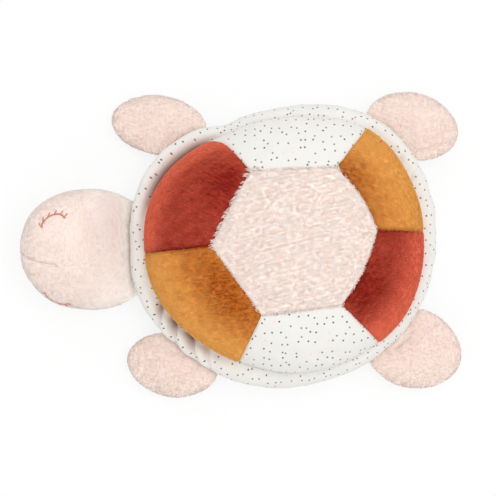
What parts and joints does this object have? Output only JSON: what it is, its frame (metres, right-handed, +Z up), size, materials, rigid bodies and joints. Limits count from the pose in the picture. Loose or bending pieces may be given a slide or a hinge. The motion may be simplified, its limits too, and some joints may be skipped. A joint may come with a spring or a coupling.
{
  "type": "plush turtle",
  "caption": "Stuffed toy turtle with a padded patchwork shell, a gathered side band, a soft head with stitched closed eyes, and flat flippers that fold at their seams.",
  "frame": {"origin": "on the surface that the toy lies on, under the middle of the shell", "axes": "+X from head to tail, +Y to the turtle's right side, +Z up out of the belly"},
  "size_m": [0.3463, 0.2412, 0.095],
  "materials": {
    "rust_velour": "short red-brown velour pile",
    "ochre_velour": "short ochre velour pile",
    "pink_fur": "curly pale pink fur",
    "pink_velour": "very short pale pink velour pile",
    "dotted_cotton": "off-white woven cotton printed with small grey dots",
    "eye_thread": "satin-stitched embroidery thread",
    "polyester_wadding": "white fibre filling"
  },
  "bodies": {
    "body": {"shell_hexagon_panel": "pink_fur", "shell_rear_right_panel": "ochre_velour", "shell_right_panel": "dotted_cotton", "shell_front_right_panel": "rust_velour", "shell_front_left_panel": "ochre_velour", "shell_left_panel": "dotted_cotton", "shell_rear_left_panel": "rust_velour", "side_band": "dotted_cotton", "belly_panel": "dotted_cotton", "body_filling": "polyester_wadding"},
    "head": {"head_right_panel": "pink_velour", "head_left_panel": "pink_velour", "head_filling": "polyester_wadding", "right_eye_embroidery": "eye_thread", "left_eye_embroidery": "eye_thread"},
    "front_right_flipper": {"front_right_flipper_top": "pink_velour", "front_right_flipper_underside": "pink_velour", "front_right_flipper_filling": "polyester_wadding"},
    "front_left_flipper": {"front_left_flipper_top": "pink_velour", "front_left_flipper_underside": "pink_velour", "front_left_flipper_filling": "polyester_wadding"},
    "rear_right_flipper": {"rear_right_flipper_top": "pink_velour", "rear_right_flipper_underside": "pink_velour", "rear_right_flipper_filling": "polyester_wadding"},
    "rear_left_flipper": {"rear_left_flipper_top": "pink_velour", "rear_left_flipper_underside": "pink_velour", "rear_left_flipper_filling": "polyester_wadding"}
  },
  "joints": [
    {"name": "head_fold", "type": "hinge", "parent": "body", "child": "head", "pos_m": [-0.11841, -0.003, 0.01794], "axis": [0, 1, 0], "range_deg": [-30, 15], "stiffness_Nm_per_rad": 0.04},
    {"name": "front_right_flipper_fold", "type": "hinge", "parent": "body", "child": "front_right_flipper", "pos_m": [-0.0765, 0.0826, 0.01794], "axis": [0.8394, 0.5435, 0], "range_deg": [-35, 30], "stiffness_Nm_per_rad": 0.004},
    {"name": "front_left_flipper_fold", "type": "hinge", "parent": "body", "child": "front_left_flipper", "pos_m": [-0.0715, -0.08397, 0.01794], "axis": [-0.8059, 0.592, 0], "range_deg": [-35, 30], "stiffness_Nm_per_rad": 0.004},
    {"name": "rear_right_flipper_fold", "type": "hinge", "parent": "body", "child": "rear_right_flipper", "pos_m": [0.08262, 0.08869, 0.01794], "axis": [0.7493, -0.6622, 0], "range_deg": [-35, 30], "stiffness_Nm_per_rad": 0.004},
    {"name": "rear_left_flipper_fold", "type": "hinge", "parent": "body", "child": "rear_left_flipper", "pos_m": [0.08668, -0.07295, 0.01794], "axis": [-0.7008, -0.7134, 0], "range_deg": [-35, 30], "stiffness_Nm_per_rad": 0.004}
  ]
}
